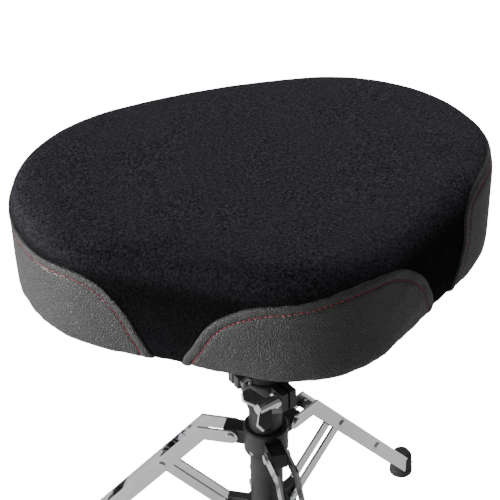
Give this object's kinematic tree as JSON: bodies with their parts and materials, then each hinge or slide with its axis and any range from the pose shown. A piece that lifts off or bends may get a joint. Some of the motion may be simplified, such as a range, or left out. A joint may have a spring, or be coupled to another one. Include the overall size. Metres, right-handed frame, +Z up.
{
  "type": "drum throne",
  "caption": "Saddle-shaped padded drum seat on a height-adjustable post with a folding double-braced tripod.",
  "frame": {"origin": "centre of the footprint on the floor, midway between the front foot and the seat's rear", "axes": "+Z up, -Y towards the nose of the saddle, +X to the right seen from the front"},
  "size_m": [0.4558, 0.4314, 0.561],
  "materials": {
    "velour": "soft short-pile velour",
    "vinyl": "pebble-grained satin vinyl",
    "foam": "open-cell foam",
    "plywood": "raw plywood",
    "dust_cloth": "thin non-woven cloth",
    "black_paint": "satin powder coat",
    "chrome": "polished chrome plate",
    "zinc": "zinc plated steel",
    "nylon": "moulded nylon",
    "rubber": "moulded rubber"
  },
  "bodies": {
    "base": {"base_tube": "black_paint", "tube_bottom_cap": "rubber", "clamp_bushing": "nylon", "height_clamp": "black_paint", "leg_hub": "black_paint", "hub_screws": "zinc", "hub_pins": "chrome"},
    "post": {"seat_post": "chrome", "post_end_plug": "nylon", "post_top_plug": "nylon", "memory_lock": "black_paint", "memory_lock_bolt": "chrome", "memory_lock_nut": "zinc"},
    "seat": {"seat_top_cover": "velour", "nose_panel": "vinyl", "left_side_panel": "vinyl", "right_side_panel": "vinyl", "foam_core": "foam", "seat_board": "plywood", "dust_cover": "dust_cloth", "cover_staples": "zinc", "seat_bracket": "black_paint", "bracket_washers": "zinc", "bracket_bolts": "zinc", "tee_nuts": "zinc"},
    "height_wing": {"height_wing_bolt": "chrome"},
    "seat_wing": {"seat_wing_bolt": "chrome"},
    "collar_wing": {"collar_wing_bolt": "chrome"},
    "collar": {"brace_collar": "black_paint"},
    "front_leg": {"front_leg_straps": "chrome", "front_leg_pins": "chrome", "front_leg_spacers": "nylon", "front_leg_foot": "rubber"},
    "front_brace": {"front_brace_straps": "chrome", "front_brace_pin": "chrome"},
    "right_leg": {"right_leg_straps": "chrome", "right_leg_pins": "chrome", "right_leg_spacers": "nylon", "right_leg_foot": "rubber"},
    "right_brace": {"right_brace_straps": "chrome", "right_brace_pin": "chrome"},
    "left_leg": {"left_leg_straps": "chrome", "left_leg_pins": "chrome", "left_leg_spacers": "nylon", "left_leg_foot": "rubber"},
    "left_brace": {"left_brace_straps": "chrome", "left_brace_pin": "chrome"}
  },
  "joints": [
    {"name": "front_leg_fold", "type": "hinge", "parent": "base", "child": "front_leg", "pos_m": [0, 0.00931, 0.228], "axis": [1, 0, 0], "range_deg": [0, 40]},
    {"name": "front_brace_fold", "type": "hinge", "parent": "front_leg", "child": "front_brace", "pos_m": [0, -0.06851, 0.17351], "axis": [1, 0, 0], "range_deg": [-80, 0]},
    {"name": "right_leg_fold", "type": "hinge", "parent": "base", "child": "right_leg", "pos_m": [0.03118, 0.06331, 0.228], "axis": [-0.5, 0.866, 0], "range_deg": [0, 40]},
    {"name": "right_brace_fold", "type": "hinge", "parent": "right_leg", "child": "right_brace", "pos_m": [0.09857, 0.10222, 0.17351], "axis": [-0.5, 0.866, 0], "range_deg": [-80, 0]},
    {"name": "left_leg_fold", "type": "hinge", "parent": "base", "child": "left_leg", "pos_m": [-0.03118, 0.06331, 0.228], "axis": [-0.5, -0.866, 0], "range_deg": [0, 40]},
    {"name": "left_brace_fold", "type": "hinge", "parent": "left_leg", "child": "left_brace", "pos_m": [-0.09857, 0.10222, 0.17351], "axis": [-0.5, -0.866, 0], "range_deg": [-80, 0]},
    {"name": "brace_collar_slide", "type": "slide", "parent": "base", "child": "collar", "axis": [0, 0, -1], "range_m": [0, 0.0812]},
    {"name": "height_slide", "type": "slide", "parent": "base", "child": "post", "axis": [0, 0, 1], "range_m": [0, 0.1]},
    {"name": "seat_swivel", "type": "hinge", "parent": "post", "child": "seat", "pos_m": [0, 0.04531, 0.43], "axis": [0, 0, 1], "continuous": true},
    {"name": "height_wing_turn", "type": "hinge", "parent": "base", "child": "height_wing", "pos_m": [0.01042, 0.01506, 0.302], "axis": [-0.9455, -0.3256, 0], "continuous": true},
    {"name": "seat_wing_turn", "type": "hinge", "parent": "seat", "child": "seat_wing", "pos_m": [0, 0.07531, 0.41], "axis": [0, 1, 0], "continuous": true},
    {"name": "collar_wing_turn", "type": "hinge", "parent": "collar", "child": "collar_wing", "pos_m": [0, 0.07531, 0.11902], "axis": [0, 1, 0], "continuous": true}
  ],
  "couplings": [
    {"joint": "front_brace_fold", "follows": "front_leg_fold", "ratio": -2},
    {"joint": "right_leg_fold", "follows": "front_leg_fold", "ratio": 1},
    {"joint": "right_brace_fold", "follows": "front_leg_fold", "ratio": -2},
    {"joint": "left_leg_fold", "follows": "front_leg_fold", "ratio": 1},
    {"joint": "left_brace_fold", "follows": "front_leg_fold", "ratio": -2},
    {"joint": "brace_collar_slide", "follows": "front_leg_fold", "m_per_rad": 0.116}
  ]
}
